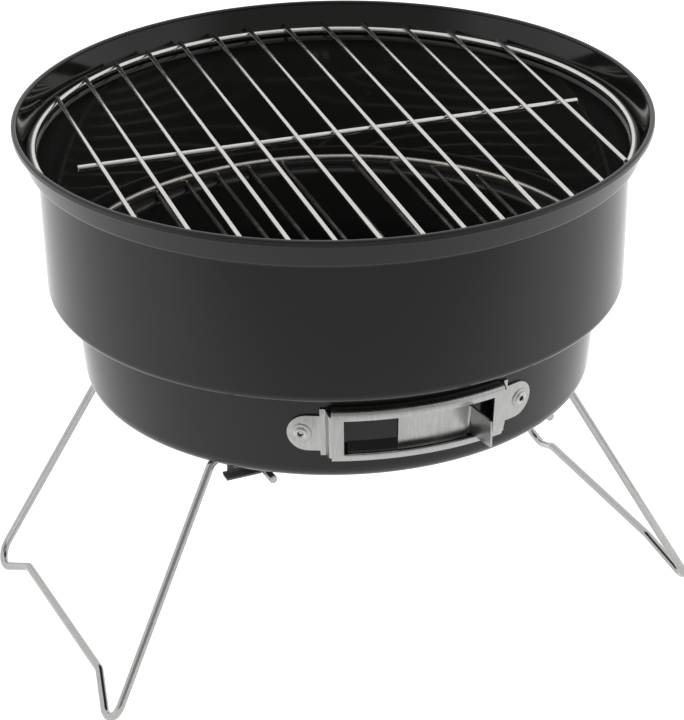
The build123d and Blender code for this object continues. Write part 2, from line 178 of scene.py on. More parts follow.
def blend_colours(tree, factor, first, second):
    """A colour between first and second; a Mix node keeps its colour sockets at 6, 7 and 2."""
    mixed = node(tree, "ShaderNodeMix", {0: factor, 6: first, 7: second}, data_type="RGBA")
    return mixed.outputs[2]


def xyz(tree, x=0.0, y=0.0, z=0.0):
    """A vector made of three numbers or sockets."""
    return node(tree, "ShaderNodeCombineXYZ", {"X": x, "Y": y, "Z": z})


print("helpers ready: group, feed, node, maths, times, dot, ranged, blend_colours, xyz")

# %% [markdown]
# ## Floor and light
#
# The grill stands on a plain white floor. Seen directly, the floor glows enough to
# stay white to the edge of the picture. Mirrored in the grill, the floor's glow is
# painted dimmer in front than behind: painted light behind and a painted shade in
# front, and that is what gives the enamel its depth. The sky is an even white, as a
# light tent gives. Polished metal needs something dark to reflect or it looks like
# paper, so the sky has one soft darker patch, low and behind the camera, where the
# open side of such a tent would be.

# %% Floor and light
def direction(heading, climb=0.0):
    """A unit vector from a heading, counted from +X, and an angle above the horizon."""
    return Vector((cos(heading) * cos(climb), sin(heading) * cos(climb), sin(climb)))


FLOOR_HALF = 6.0
FLOOR_COLOUR = (0.60, 0.60, 0.60, 1)
FLOOR_GLOW_SEEN = 0.90
FLOOR_GLOW_BEHIND = 0.67           # what the grill mirrors of the floor behind it
FLOOR_GLOW_FRONT = 0.20            # and in front of it
FLOOR_HEADING = radians(-106.0)    # the way in which the floor gets darker, from +X
FLOOR_FADE = (0.16, 0.46)          # and how far that way it starts and ends
SKY_BRIGHT = (1.0, 1.0, 1.0, 1)
SKY_DARK = (0.40, 0.40, 0.395, 1)
DARK_HEADING = radians(-113.0)     # direction of the middle of the dark patch, from +X
DARK_CLIMB = radians(18.0)         # and how far it is above the horizon
DARK_EDGE = (0.50, 0.84)           # cosines of the angles at which it starts and is full

floor_mesh = bpy.data.meshes.new("floor")
floor_corners = [(x * FLOOR_HALF, y * FLOOR_HALF, 0) for x, y in ((-1, -1), (1, -1), (1, 1), (-1, 1))]
floor_mesh.from_pydata(floor_corners, [], [(0, 1, 2, 3)])
floor = put("floor", floor_mesh)

floor_finish = bpy.data.materials.new("floor_white")
floor_finish.use_nodes = True
floor_tree = floor_finish.node_tree
place = node(floor_tree, "ShaderNodeTexCoord").outputs["Object"]
# painted glow: in the grill's reflections the floor glows more behind, a painted light, and less in front, a
# painted shade
front = dot(floor_tree, place, direction(FLOOR_HEADING))
mirrored = ranged(floor_tree, front, *FLOOR_FADE, FLOOR_GLOW_BEHIND, FLOOR_GLOW_FRONT, "SMOOTHSTEP")
seen = node(floor_tree, "ShaderNodeLightPath").outputs["Is Camera Ray"]
feed(floor_tree, floor_tree.nodes["Principled BSDF"], {
    "Base Color": FLOOR_COLOUR, "Roughness": 0.9, "Specular IOR Level": 0.0,
    "Emission Color": (1, 1, 1, 1),
    "Emission Strength": ranged(floor_tree, seen, 0, 1, mirrored, FLOOR_GLOW_SEEN),
})
floor_mesh.materials.append(floor_finish)

world = bpy.data.worlds.new("light_tent")
world.use_nodes = True
bpy.context.scene.world = world
sky = world.node_tree
dark_way = direction(DARK_HEADING, DARK_CLIMB)
looking = node(sky, "ShaderNodeTexCoord").outputs["Generated"]
patch = ranged(sky, dot(sky, looking, dark_way), *DARK_EDGE, kind="SMOOTHSTEP")
feed(sky, sky.nodes["Background"], {"Color": blend_colours(sky, patch, SKY_BRIGHT, SKY_DARK)})
print("floor", 2 * FLOOR_HALF, "m wide; sky has its dark patch towards", [round(v, 2) for v in dark_way])

# %% [markdown]
# ## Shader groups
#
# Three effects are shared by several finishes, so each is made once as a shader node
# group. `mottle` is a soft cloudy value between two limits: polished or enamelled
# metal is never equally glossy all over. `ripple` is the slight waviness that a
# pressed or dipped surface keeps, given as a normal. `grain` is a fine streaked value
# such as rolling and brushing leave on sheet, and it gives its own normal too. All
# three read Object coordinates, which here are metres in the grill's own frame.

# %% Shader groups
def noise_value(tree, scale, detail, stretch=(1, 1, 1)):
    """A noise value in Object coordinates, squeezed along the axes by stretch."""
    place = node(tree, "ShaderNodeTexCoord").outputs["Object"]
    mapping = node(tree, "ShaderNodeMapping", {"Vector": place, "Scale": stretch})
    noise = node(tree, "ShaderNodeTexNoise", {
        "Vector": mapping, "Scale": scale, "Detail": detail, "Roughness": 0.55,
    })
    return noise.outputs["Fac"]


NOISE_RANGE = (0.32, 0.68)         # a noise value mostly stays between these


def between(tree, value, low, high):
    """Spread a noise value over low to high."""
    return ranged(tree, value, *NOISE_RANGE, low, high)


def rough(tree, height):
    """A normal for bumps of that height."""
    return node(tree, "ShaderNodeBump", {"Strength": 1.0, "Distance": 1.0, "Height": height})


mottle = group("mottle", "ShaderNodeTree", [("Scale", FLOAT), ("Low", FLOAT), ("High", FLOAT)],
               [("Value", FLOAT)])
given = node(mottle, "NodeGroupInput").outputs
cloud = noise_value(mottle, given["Scale"], 3.0)
node(mottle, "NodeGroupOutput", {"Value": between(mottle, cloud, given["Low"], given["High"])})

ripple = group("ripple", "ShaderNodeTree", [("Broad", FLOAT), ("Fine", FLOAT)], [("Normal", VECTOR)])
given = node(ripple, "NodeGroupInput").outputs
broad = times(ripple, noise_value(ripple, 24.0, 1.0), given["Broad"])
fine = times(ripple, noise_value(ripple, 620.0, 2.0), given["Fine"])
node(ripple, "NodeGroupOutput", {"Normal": rough(ripple, maths(ripple, "ADD", broad, fine))})

grain = group("grain", "ShaderNodeTree",
              [("Stretch", VECTOR), ("Low", FLOAT), ("High", FLOAT), ("Depth", FLOAT)],
              [("Value", FLOAT), ("Normal", VECTOR)])
given = node(grain, "NodeGroupInput").outputs
streak = noise_value(grain, 1.0, 4.0, given["Stretch"])
node(grain, "NodeGroupOutput", {
    "Value": between(grain, streak, given["Low"], given["High"]),
    "Normal": rough(grain, times(grain, streak, given["Depth"])),
})
print("shader groups:", mottle.name, ripple.name, grain.name)

# %% [markdown]
# ## Finishes
#
# Each finish is one material with its own Principled shader. What varies over the
# surface comes from the groups, and what is the same everywhere is set on the shader.
#
# The bowl is black vitreous enamel: glass fused to steel. Its own colour is almost
# nothing, and what we see is the studio mirrored at a few percent, more towards the
# outline. Inside, under the flare, where faces look inwards or up, the colour is painted
# a little paler, a painted light, and at the bottom of the cup it is painted black, a
# painted shade, and made dull.
#
# The brackets have ordinary black paint, which is duller. The vent frame and the damper
# are galvanised sheet, a metal with a fine streaked grain and faint cloudy patches of
# zinc. The legs are bright chrome, and the grates are plated wire, the lower one a
# little duller and warmer. The ends of the rivets' mandrels are painted nearly black:
# partly the steel's own colour and partly a painted shade for the deep bore.

# %% Finishes
def finish(name, colour, metallic=0.0):
    """A new material with a plain colour; returns it, its node tree and its shader."""
    made = bpy.data.materials.new(name)
    made.use_nodes = True
    made.diffuse_color = colour
    shader = made.node_tree.nodes["Principled BSDF"]
    feed(made.node_tree, shader, {"Base Color": colour, "Metallic": metallic})
    return made, made.node_tree, shader


def placed(tree, shared, values):
    """Place a shared shader group in a material with its own values."""
    return node(tree, "ShaderNodeGroup", values, node_tree=shared)


ENAMEL_OUTSIDE = (0.0090, 0.0087, 0.0080, 1)
ENAMEL_PAINTED_LIGHT_INSIDE = (0.0280, 0.0275, 0.0265, 1)
INSIDE_FADE = 0.4                  # from upright to this share of facing in or up
PAINTED_LIGHT_TOP = 0.207                    # above the ground: the flare over this gets no painted light
PAINTED_LIGHT_FADE = 0.006
PAINTED_SHADE_COLOUR = (0.0040, 0.0040, 0.0040, 1)
CUP_FLOOR_ROUGHNESS = 0.75
PAINTED_SHADE_TOP = 0.125                   # painted shade on the cup's floor, under this height
PAINTED_SHADE_FADE = 0.010
enamel, tree, shader = finish("black_enamel", ENAMEL_OUTSIDE)
place = node(tree, "ShaderNodeTexCoord").outputs
to_axis = vector_maths(tree, "MULTIPLY", place["Object"], (-1, -1, 0))
inwards_and_up = vector_maths(tree, "ADD", vector_maths(tree, "NORMALIZE", to_axis), (0, 0, 1))
inside = ranged(tree, dot(tree, inwards_and_up, place["Normal"]), 0, INSIDE_FADE)
height = node(tree, "ShaderNodeSeparateXYZ", {"Vector": place["Object"]}).outputs["Z"]
# painted light: inside faces under the flare get a paler colour
painted_light_inside = times(tree, inside, ranged(tree, height, PAINTED_LIGHT_TOP, PAINTED_LIGHT_TOP - PAINTED_LIGHT_FADE))
# painted shade: the cup's floor inside is painted black, and made rough
painted_shade = times(tree, inside, ranged(tree, height, PAINTED_SHADE_TOP, PAINTED_SHADE_TOP - PAINTED_SHADE_FADE))
painted_light_colour = blend_colours(tree, painted_light_inside, ENAMEL_OUTSIDE, ENAMEL_PAINTED_LIGHT_INSIDE)
gloss = placed(tree, mottle, {"Scale": 30.0, "Low": 0.05, "High": 0.09})
feed(tree, shader, {
    "IOR": 1.41,
    "Base Color": blend_colours(tree, painted_shade, painted_light_colour, PAINTED_SHADE_COLOUR),
    "Roughness": maths(tree, "ADD", gloss, times(tree, painted_shade, CUP_FLOOR_ROUGHNESS)),
    "Normal": placed(tree, ripple, {"Broad": 0.00003, "Fine": 0.0000006}),
})

paint, tree, shader = finish("black_paint", (0.110, 0.110, 0.107, 1))
feed(tree, shader, {
    "Roughness": placed(tree, mottle, {"Scale": 160.0, "Low": 0.28, "High": 0.42}),
    "Normal": placed(tree, ripple, {"Broad": 0.00003, "Fine": 0.000004}),
})


def metal(name, dark, bright, roughness, stretch, depth, cloud_scale):
    """A metal whose colour follows a streaked grain and whose gloss is cloudy."""
    made, tree, shader = finish(name, bright, metallic=1.0)
    streaks = placed(tree, grain, {"Stretch": stretch, "Low": 0.0, "High": 1.0, "Depth": depth}).outputs
    low, high = roughness
    feed(tree, shader, {
        "Base Color": blend_colours(tree, streaks["Value"], dark, bright),
        "Normal": streaks["Normal"],
        "Roughness": placed(tree, mottle, {"Scale": cloud_scale, "Low": low, "High": high}),
    })
    return made


EVEN = (900.0, 900.0, 900.0)
galvanised = metal("galvanised_sheet", (0.40, 0.40, 0.395, 1), (0.49, 0.49, 0.485, 1),
                   (0.24, 0.38), (1500.0, 1500.0, 60.0), 0.000001, 70.0)
aluminium = metal("rivet_aluminium", (0.48, 0.48, 0.48, 1), (0.57, 0.57, 0.57, 1),
                  (0.22, 0.34), EVEN, 0.000001, 300.0)
chrome = metal("leg_chrome", (0.41, 0.405, 0.395, 1), (0.49, 0.485, 0.475, 1),
               (0.06, 0.13), EVEN, 0.0000008, 60.0)
charcoal_plate = metal("charcoal_wire", (0.50, 0.47, 0.43, 1), (0.62, 0.59, 0.55, 1),
                       (0.26, 0.36), EVEN, 0.0000004, 120.0)
# partly painted shade: nearly black, darker than bare steel, for the deep rivet bore
mandrel_and_bore_shade = metal("mandrel_steel", (0.03, 0.03, 0.03, 1), (0.08, 0.08, 0.08, 1),
                   (0.5, 0.7), EVEN, 0.000001, 300.0)
nickel = metal("nickel_wire", (0.60, 0.59, 0.57, 1), (0.70, 0.69, 0.67, 1),
               (0.14, 0.24), EVEN, 0.0000015, 120.0)
print("finishes:", ", ".join(sorted(m.name for m in bpy.data.materials)))

# %% [markdown]
# ## Routes, trees and plain meshes
#
# Sheet and wire are both bent stock, so most pieces start as a route: a list of
# corners, each with the radius of its bend. `host_curve` makes the route a curve
# object whose point radius holds the bend, which the Fillet Curve node reads. A bend
# turns suddenly into a flat, and smooth shading would smear that over the whole flat,
# so `with_support` adds a point just outside each bend.
#
# `grow` runs a Geometry Nodes tree on an empty object and keeps the result as a plain
# mesh, and `dress` says which body a piece rides on and which nodes it stands for.
# `start_tree`, `rounded_curve`, `spun` and `end_tree` are what the trees share.

# %% Route helpers
MERGE = 0.000002                   # points this close are one point
SMOOTH_ANGLE = radians(35)         # an edge that turns more than this stays sharp


def with_support(route, margin):
    """Add a point beside both ends of each bend; a route is a list of (corner, bend radius)."""
    result = [route[0]]
    for (before, _), (corner, bend), (after, _) in zip(route, route[1:], route[2:]):
        if bend > 0:
            back = (before - corner).normalized()
            forth = (after - corner).normalized()
            setback = bend * tan((pi - back.angle(forth)) / 2) + margin
            result += [(corner + back * setback, 0.0), (corner, bend), (corner + forth * setback, 0.0)]
        else:
            result.append((corner, bend))
    return result + [route[-1]]


def host_curve(name, route):
    """A curve object through the corners of a route, holding each bend as the point's radius."""
    curve = bpy.data.curves.new(name, "CURVE")
    curve.dimensions = "3D"
    spline = curve.splines.new("POLY")
    spline.points.add(len(route) - 1)
    for spot, (corner, bend) in zip(spline.points, route):
        spot.co = (*corner, 1.0)
        spot.radius = bend
    return bpy.data.objects.new(name, curve)


def start_tree(name, inputs):
    """A new Geometry Nodes tree with named inputs, and the sockets that give their values."""
    tree = group(name, "GeometryNodeTree", inputs, [("Geometry", GEOMETRY)])
    return tree, node(tree, "NodeGroupInput").outputs


def from_object(tree, thing):
    """The geometry of an object that a tree is given."""
    return node(tree, "GeometryNodeObjectInfo", {"Object": thing}).outputs["Geometry"]


def rounded_curve(tree, thing, steps):
    """An object's curve with each corner rounded by the radius that its point holds."""
    bend = node(tree, "GeometryNodeInputRadius")
    rounded = node(tree, "GeometryNodeFilletCurve", {
        "Curve": from_object(tree, thing), "Count": steps, "Radius": bend, "Limit Radius": True,
    }, mode="POLY")
    return node(tree, "GeometryNodeSetCurveRadius", {"Curve": rounded, "Radius": 1.0})


def spun(tree, geometry, angle):
    """Geometry turned about the Z axis."""
    return node(tree, "GeometryNodeTransform", {"Geometry": geometry, "Rotation": xyz(tree, z=angle)})


def end_tree(tree, geometry, material):
    """End a tree: its instances are made real and get their material."""
    real = node(tree, "GeometryNodeRealizeInstances", {"Geometry": geometry})
    painted = node(tree, "GeometryNodeSetMaterial", {"Geometry": real, "Material": material})
    node(tree, "NodeGroupOutput", {"Geometry": painted})
    print("tree", tree.name, "has", len(tree.nodes), "nodes")
    return tree


def make_plain(piece):
    """Put the result of a piece's modifiers in its mesh, and remove them."""
    depsgraph = bpy.context.evaluated_depsgraph_get()
    mesh = bpy.data.meshes.new_from_object(piece.evaluated_get(depsgraph), depsgraph=depsgraph)
    piece.modifiers.clear()
    piece.data = mesh
    mesh.name = piece.name
    print(piece.name, len(mesh.vertices), "vertices")


def grow(name, tree, values):
    """Run a Geometry Nodes tree with its named inputs and return a plain mesh object."""
    piece = put(name, bpy.data.meshes.new(name))
    modifier = piece.modifiers.new("grow", "NODES")
    modifier.node_group = tree
    for socket in tree.interface.items_tree:
        if socket.in_out == "INPUT":
            modifier[socket.identifier] = values[socket.name]
    make_plain(piece)
    return piece


def open_mesh(piece):
    """A piece's mesh, ready to be edited."""
    form = bmesh.new()
    form.from_mesh(piece.data)
    return form


def close_mesh(form, piece):
    """Put an edited mesh back, with its faces turned outwards and its sharp edges found."""
    bmesh.ops.recalc_face_normals(form, faces=form.faces)
    form.to_mesh(piece.data)
    form.free()
    piece.data.set_sharp_from_angle(angle=SMOOTH_ANGLE)


def ease_edges(piece, width, above, merge=0.0):
    """Round a piece's sharp edges a little; above is the angle, in degrees, that counts as sharp."""
    form = open_mesh(piece)
    if merge:
        bmesh.ops.remove_doubles(form, verts=form.verts, dist=merge)
        bmesh.ops.dissolve_limit(form, angle_limit=radians(1), verts=form.verts, edges=form.edges)
    sharp = [edge for edge in form.edges if edge.is_manifold and edge.calc_face_angle() > radians(above)]
    bmesh.ops.bevel(form, geom=sharp, offset=width, segments=2, profile=0.5, affect="EDGES",
                    clamp_overlap=True)
    for face in form.faces:
        face.smooth = True
    close_mesh(form, piece)


def dress(piece, body, slot, *nodes):
    """Say which body a piece rides on and hide the CAD nodes it stands for; slot is not used."""
    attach(piece, body)
    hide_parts(*nodes)
    print(piece.name, "rides on", body, "and stands for", len(nodes), "nodes")


print("helpers ready: with_support, host_curve, rounded_curve, end_tree, grow, ease_edges, dress")

# %% [markdown]
# ## Bowl
#
# The bowl is one sheet, drawn in a press: a flat floor, a slightly open cup, a step, a
# nearly upright wall, a short flare and a hem rolled over at the rim. That is a shape
# of revolution, so a Geometry Nodes tree turns one profile round the axis. The profile
# is the outer skin, the hem, and the same skin again one sheet thickness inside, with
# each bend's radius changed by that thickness, so the sheet is equally thick all over.

# %% Bowl profile
bowl_low, bowl_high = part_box("bowl")
CUP_BOTTOM = bowl_low.z
RIM_RADIUS = bowl_high.x
RIM_TOP = bowl_high.z
SHEET = 0.0010
CUP_FOOT_RADIUS = 0.1070
CUP_TOP_RADIUS = 0.1109
STEP = 0.1468
WALL_FOOT_RADIUS = 0.1214
WALL_TOP_RADIUS = 0.1227
FLARE_FOOT = 0.2068
FLARE_RADIUS = 0.1276
FLARE_TOP = 0.2083
RIM_BAND = 0.0029
RIM_WIDTH = 0.0023
AIR_HOLE_LOW = 0.1186
AIR_HOLE_HIGH = 0.1244
BOWL_SUPPORT = 0.00015             # from each bend to the point added beside it


def cup_radius(height):
    """Outer radius of the lower cup at a height; the cup widens a little upwards."""
    share = (height - CUP_BOTTOM) / (STEP - CUP_BOTTOM)
    return CUP_FOOT_RADIUS + (CUP_TOP_RADIUS - CUP_FOOT_RADIUS) * share


def bend_at(x, z, bend=0.0):
    """A corner of a flat route, where x is the distance from the axis or along the cup."""
    return Vector((x, 0, z)), bend


def inner_skin(route, sheet):
    """The same route moved to its left by the sheet's thickness, with every bend to suit."""
    moved = []
    for number, (corner, bend) in enumerate(route):
        before = route[max(number - 1, 0)][0]
        after = route[min(number + 1, len(route) - 1)][0]
        came = (corner - before).normalized() if number else (after - corner).normalized()
        goes = (after - corner).normalized() if number < len(route) - 1 else came
        side = Vector((-came.z - goes.z, 0, came.x + goes.x)) / (1 + came.dot(goes))
        turns_left = came.x * goes.z - came.z * goes.x > 0
        inner_bend = bend - sheet if turns_left else bend + sheet
        moved.append((corner + side * sheet, inner_bend if bend else 0.0))
    return moved


rim_wall_radius = RIM_RADIUS - RIM_WIDTH + SHEET
rim_wall_top = RIM_TOP - RIM_BAND / 2
outer_route = [
    bend_at(0, CUP_BOTTOM),
    bend_at(CUP_FOOT_RADIUS, CUP_BOTTOM, 0.0070),
    bend_at(cup_radius(AIR_HOLE_LOW), AIR_HOLE_LOW),
    bend_at(cup_radius(AIR_HOLE_HIGH), AIR_HOLE_HIGH),
    bend_at(CUP_TOP_RADIUS, STEP, 0.0012),
    bend_at(WALL_FOOT_RADIUS, STEP, 0.0035),
    bend_at(WALL_TOP_RADIUS, FLARE_FOOT, 0.0015),
    bend_at(FLARE_RADIUS, FLARE_TOP, 0.0022),
    bend_at(rim_wall_radius, rim_wall_top),
]
inner_route = inner_skin(outer_route, SHEET)

HEM_CREASE = 0.0001                # the hem's lower edge curls in this far above its foot
crease_height = RIM_TOP - RIM_BAND + HEM_CREASE
crease_share = (crease_height - FLARE_TOP) / (rim_wall_top - FLARE_TOP)
crease = outer_route[-2][0].lerp(outer_route[-1][0], crease_share)
hem_route = [
    (crease, 0.0),
    bend_at(crease.x + 0.0003, RIM_TOP - RIM_BAND),
    bend_at(RIM_RADIUS, RIM_TOP - RIM_BAND, 0.0006),
    bend_at(RIM_RADIUS, RIM_TOP, 0.0009),
    bend_at(RIM_RADIUS - RIM_WIDTH, RIM_TOP, 0.0009),
    bend_at(RIM_RADIUS - RIM_WIDTH, inner_route[-1][0].z, 0.0004),
]
bowl_route = outer_route[:-1] + hem_route + inner_route[-2::-1]
bowl_profile = host_curve("bowl_profile", with_support(bowl_route, BOWL_SUPPORT))
print("bowl profile:", len(bowl_route), "corners")

# %% [markdown]
# The tree itself rounds the corners, moves the profile so that the axis becomes the
# path's centre, and sweeps it round a circle. The two ends lie on the axis, where all
# steps of the circle meet in one point, and merging closes those poles.

# %% Spinning tree
def spinning_tree():
    """A Geometry Nodes tree that turns a profile curve round the Z axis."""
    tree, given = start_tree("spin_profile", [
        ("Profile", THING), ("Steps", WHOLE), ("Bend Steps", WHOLE), ("Start Angle", FLOAT),
        ("Finish", MATERIAL),
    ])
    profile = rounded_curve(tree, given["Profile"], given["Bend Steps"])
    path_radius = 1.0
    laid = node(tree, "GeometryNodeTransform", {
        "Geometry": profile, "Translation": (-path_radius, 0, 0), "Rotation": (pi / 2, 0, 0),
    })
    circle = node(tree, "GeometryNodeCurvePrimitiveCircle", {
        "Resolution": given["Steps"], "Radius": path_radius,
    })
    swept = node(tree, "GeometryNodeCurveToMesh", {"Curve": circle, "Profile Curve": laid})
    turned = spun(tree, swept, given["Start Angle"])
    closed = node(tree, "GeometryNodeMergeByDistance", {"Geometry": turned, "Distance": MERGE})
    smooth = node(tree, "GeometryNodeSetShadeSmooth", {"Geometry": closed})
    return end_tree(tree, smooth, given["Finish"])


spin_profile = spinning_tree()
bowl = grow("enamelled_bowl", spin_profile, {
    "Profile": bowl_profile, "Steps": 360, "Bend Steps": 7, "Start Angle": radians(0.5),
    "Finish": enamel,
})

# %% [markdown]
# The air hole behind the vent is cut after the sweep. Its faces are found by their
# height and their angle, taken out of both skins, and the two open edges are bridged,
# so the hole shows the sheet's thickness.

# %% Air hole
VENT_AZIMUTH = -96.35
AIR_HOLE_START = -15.1
AIR_HOLE_END = -1.0


def in_air_hole(face):
    """Whether a face of the bowl lies inside the air hole's outline."""
    middle = face.calc_center_median()
    angle = degrees(atan2(middle.y, middle.x)) - VENT_AZIMUTH
    at_wall = sqrt(middle.x**2 + middle.y**2) > CUP_FOOT_RADIUS - 2 * SHEET
    at_height = AIR_HOLE_LOW < middle.z < AIR_HOLE_HIGH
    return at_wall and at_height and AIR_HOLE_START < angle < AIR_HOLE_END


form = open_mesh(bowl)
opened = [face for face in form.faces if in_air_hole(face)]
bmesh.ops.delete(form, geom=opened, context="FACES")
rims = [edge for edge in form.edges if edge.is_boundary]
bmesh.ops.bridge_loops(form, edges=rims)
close_mesh(form, bowl)
dress(bowl, "bowl", "black_enamel", "bowl")
print("air hole:", len(opened), "faces taken out")

# %% [markdown]
# ## Vent frame
#
# The vent frame is galvanised sheet, pressed like a shallow box with its back open: a
# long face with a window, a roof and a floor that reach back to the cup, and at each
# end a slanting side, a foot and an ear with a round end. It also follows the round
# cup, and the cup is a cone. The simplest way to get all that right is to draw the
# sheet as a grid in its own coordinates, which are the length along the cup, the
# height and the distance from the cup's wall, and then to place every point of the
# grid on the real cone.

# %% Strip helpers
VENT_HEIGHT = 0.1284
FRAME_SHEET = 0.0009
FRAME_STANDOFF = 0.0050
FRAME_HALF_ANGLE = 18.8
FRAME_LOW = 0.1165
FRAME_HIGH = 0.1404
FRAME_BEND = 0.0024
FLANGE_GAP = 0.0001
WINDOW_HALF_ANGLE = 15.9
WINDOW_LOW = 0.1202
WINDOW_HIGH = 0.1360
SLANT_FOOT_ANGLE = 19.65
FOOT_LOW = 0.1182
FOOT_HIGH = 0.1397
EAR_FOOT_ANGLE = 20.75
EAR_END_ANGLE = 23.4
EAR_HALF_HEIGHT = 0.0081
RIVET_ANGLE = 24.75
LONGEST_STEP = 0.0022              # between two columns of a strip's grid
BEND_STEPS = 6
vent_radius = cup_radius(VENT_HEIGHT)
wall_lean = atan2(CUP_TOP_RADIUS - CUP_FOOT_RADIUS, STEP - CUP_BOTTOM)


def arc(angle):
    """Length along the cup's wall, at the vent's height, for an angle in degrees."""
    return radians(angle) * vent_radius


def on_cup(along, height, standoff):
    """Point near the cup's wall; along is measured from the middle of the vent."""
    azimuth = radians(VENT_AZIMUTH) + along / vent_radius
    radius = cup_radius(height) + standoff
    return Vector((radius * cos(azimuth), radius * sin(azimuth), height))


def rounded_route(route):
    """Replace each bent corner of a route with points of an arc."""
    points = [route[0][0]]
    for (before, _), (corner, bend), (after, _) in zip(route, route[1:], route[2:]):
        if bend <= 0:
            points.append(corner)
            continue
        back = (before - corner).normalized()
        forth = (after - corner).normalized()
        half = back.angle(forth) / 2
        centre = corner + (back + forth).normalized() * bend / sin(half)
        start = corner + back * bend / tan(half) - centre
        turn = start.rotation_difference(corner + forth * bend / tan(half) - centre)
        for step in range(BEND_STEPS + 1):
            points.append(centre + Quaternion().slerp(turn, step / BEND_STEPS) @ start)
    return points + [route[-1][0]]


def spaced(points):
    """Add points so that no step of the line is longer than the longest."""
    result = [points[0]]
    for before, after in zip(points, points[1:]):
        pieces = max(1, round((after - before).length / LONGEST_STEP + 0.49))
        result += [before.lerp(after, number / pieces) for number in range(1, pieces + 1)]
    return result


def strip(name, points, rows, spot, solid, sheet, material):
    """Sheet beside the cup: a column for each point of its route, a row for each level.

    spot gives the height and the standoff of a point in a row.
    """
    form = bmesh.new()
    grid = [[form.verts.new(on_cup(point.x, *spot(point, row))) for row in rows] for point in points]
    for left in range(len(points) - 1):
        for low in range(len(rows) - 1):
            if solid(points[left], points[left + 1], rows[low], rows[low + 1]):
                near, far = grid[left], grid[left + 1]
                form.faces.new((near[low], far[low], far[low + 1], near[low + 1]))
    loose = [vert for vert in form.verts if not vert.link_faces]
    bmesh.ops.delete(form, geom=loose, context="VERTS")
    bmesh.ops.remove_doubles(form, verts=form.verts, dist=MERGE)
    piece = put(name, bpy.data.meshes.new(name))
    form.to_mesh(piece.data)
    form.free()
    piece.data.materials.append(material)
    thick = piece.modifiers.new("sheet", "SOLIDIFY")
    thick.thickness = sheet
    thick.offset = -1.0
    thick.use_even_offset = True
    make_plain(piece)
    return piece


print("the cup is", round(vent_radius, 4), "m in radius at the vent and leans", round(degrees(wall_lean), 1))

# %% [markdown]
# The rows of the grid are levels. Level 1 is the window's edge, and farther along it
# is the ear's edge. Level 2 is the edge of the flat face, and farther along it is the
# foot's edge. Levels 2 to 3 go round the bend, and level 4 is the back of the roof or
# the floor. Where a part has no sheet, the grid has no faces.

# %% Vent frame
EAR_STEPS = 10
FRAME_LEVELS = (1, 2, 2.25, 2.5, 2.75, 3, 4)
frame_rows = [-level for level in reversed(FRAME_LEVELS)] + list(FRAME_LEVELS)


ear_end = [
    bend_at(arc(EAR_END_ANGLE) + EAR_HALF_HEIGHT * sin(pi / 2 * step / EAR_STEPS), FRAME_SHEET)
    for step in range(1, EAR_STEPS + 1)
]
right_half = [
    bend_at(arc(WINDOW_HALF_ANGLE), FRAME_STANDOFF),
    bend_at(arc(FRAME_HALF_ANGLE), FRAME_STANDOFF, 0.0012),
    bend_at(arc(SLANT_FOOT_ANGLE), FRAME_SHEET, 0.0008),
    bend_at(arc(EAR_FOOT_ANGLE), FRAME_SHEET),
    bend_at(arc(EAR_END_ANGLE), FRAME_SHEET),
] + ear_end
left_half = [bend_at(-corner.x, corner.z, bend) for corner, bend in reversed(right_half)]


def frame_spot(point, row):
    """Height and standoff of the frame at a point of its route, for a level."""
    level = abs(row)
    top = row > 0
    past_end = abs(point.x) - arc(EAR_END_ANGLE)
    fall = min(1.0, (FRAME_STANDOFF - point.z) / (FRAME_STANDOFF - FRAME_SHEET))
    if level == 1 and abs(point.x) < arc(FRAME_HALF_ANGLE):
        return (WINDOW_HIGH if top else WINDOW_LOW), point.z
    if level == 1:
        half = sqrt(max(0.0, EAR_HALF_HEIGHT**2 - max(0.0, past_end) ** 2))
        return VENT_HEIGHT + (half if top else -half), point.z
    face_edge = FRAME_HIGH - FRAME_BEND if top else FRAME_LOW + FRAME_BEND
    foot_edge = FOOT_HIGH if top else FOOT_LOW
    edge = face_edge + (foot_edge - face_edge) * fall
    if level == 4:
        return (FRAME_HIGH if top else FRAME_LOW), FLANGE_GAP
    turned = radians(90) * (level - 2)
    rise = FRAME_BEND * sin(turned)
    return edge + (rise if top else -rise), point.z - FRAME_BEND * (1 - cos(turned))


def frame_solid(left, right, low, high):
    """Whether the frame has sheet between these columns and rows."""
    middle = abs(left.x + right.x) / 2
    in_middle_row = low == -1
    if in_middle_row:
        return middle > arc(WINDOW_HALF_ANGLE)
    if max(abs(low), abs(high)) > 2:
        return min(left.z, right.z) > FRAME_STANDOFF - MERGE
    return middle < arc(EAR_FOOT_ANGLE)


frame_points = spaced(rounded_route(left_half + right_half))
vent_frame = strip("vent_frame_sheet", frame_points, frame_rows, frame_spot, frame_solid,
                   FRAME_SHEET, galvanised)
ease_edges(vent_frame, width=0.00013, above=50)

# %% [markdown]
# ## Damper
#
# The damper is a second strip between the cup and the first: a plate close to the
# cup's wall, whose right end is bent straight out through the window as a tab to push
# it by. The tab is narrower than the plate and has rounded corners. Its outer edge is
# upright, so it does not lean with the cup as the plate does.

# %% Damper
DAMPER_SHEET = 0.0008
DAMPER_GAP = 0.0003
DAMPER_START = -4.6
DAMPER_END = 11.6
PLATE_LOW = 0.1177
PLATE_HIGH = 0.1392
TAB_REACH = 0.1260
TAB_ROOT_LOW = 0.1206
TAB_ROOT_HIGH = 0.1332
TAB_END_LOW = 0.1213
TAB_END_HIGH = 0.1326
TAB_BEND = 0.0010
TAB_CORNER = 0.0006

plate_out = DAMPER_GAP + DAMPER_SHEET
tab_along = arc(DAMPER_END) - DAMPER_SHEET / 2
tab_out = TAB_REACH - vent_radius
damper_rows = [-2, -1, 1, 2]
damper_route = [
    bend_at(arc(DAMPER_START), plate_out),
    bend_at(tab_along, plate_out, TAB_BEND),
    bend_at(tab_along, tab_out - TAB_CORNER),
    bend_at(tab_along, tab_out),
]


